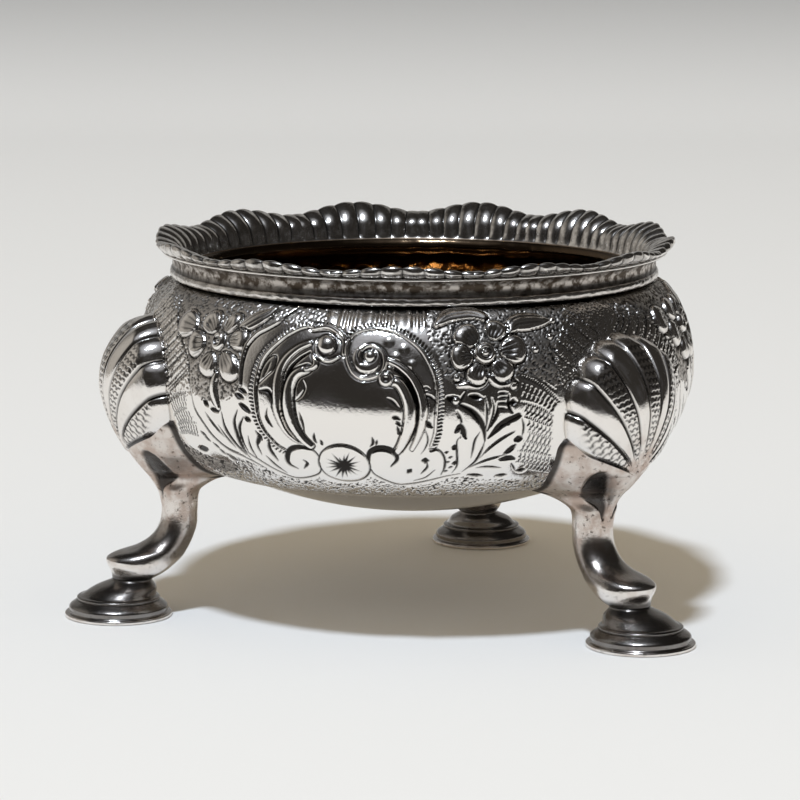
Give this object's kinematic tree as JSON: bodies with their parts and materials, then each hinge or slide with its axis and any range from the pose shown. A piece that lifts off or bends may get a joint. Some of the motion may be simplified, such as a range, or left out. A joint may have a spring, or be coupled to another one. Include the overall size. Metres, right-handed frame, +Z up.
{
  "type": "salt cellar",
  "caption": "Round open salt cellar in silver: swelling chased bowl with gilt inside, lobed gadrooned rim, and cast scroll legs with shell knees on stepped pad feet.",
  "frame": {"origin": "on the bowl's axis, at the table plane under the three feet", "axes": "+Z up along the bowl's axis; the cartouche on the front faces -Y, between the left and right legs; the third leg stands at +Y"},
  "size_m": [0.0786, 0.079, 0.0468],
  "materials": {
    "chased_silver": "chased silver, dark in the recesses, gilt inside",
    "silver_mount": "cast silver edging, polished on the ridges and tarnished in the grooves",
    "cast_silver": "cast silver, softly worn, with warm patina"
  },
  "bodies": {
    "root": {"bowl": "chased_silver", "neck_collar": "silver_mount", "gadroon_rim": "silver_mount", "leg_left": "cast_silver", "shell_left": "cast_silver", "foot_left": "cast_silver", "leg_right": "cast_silver", "shell_right": "cast_silver", "foot_right": "cast_silver", "leg_back": "cast_silver", "shell_back": "cast_silver", "foot_back": "cast_silver"}
  },
  "joints": []
}
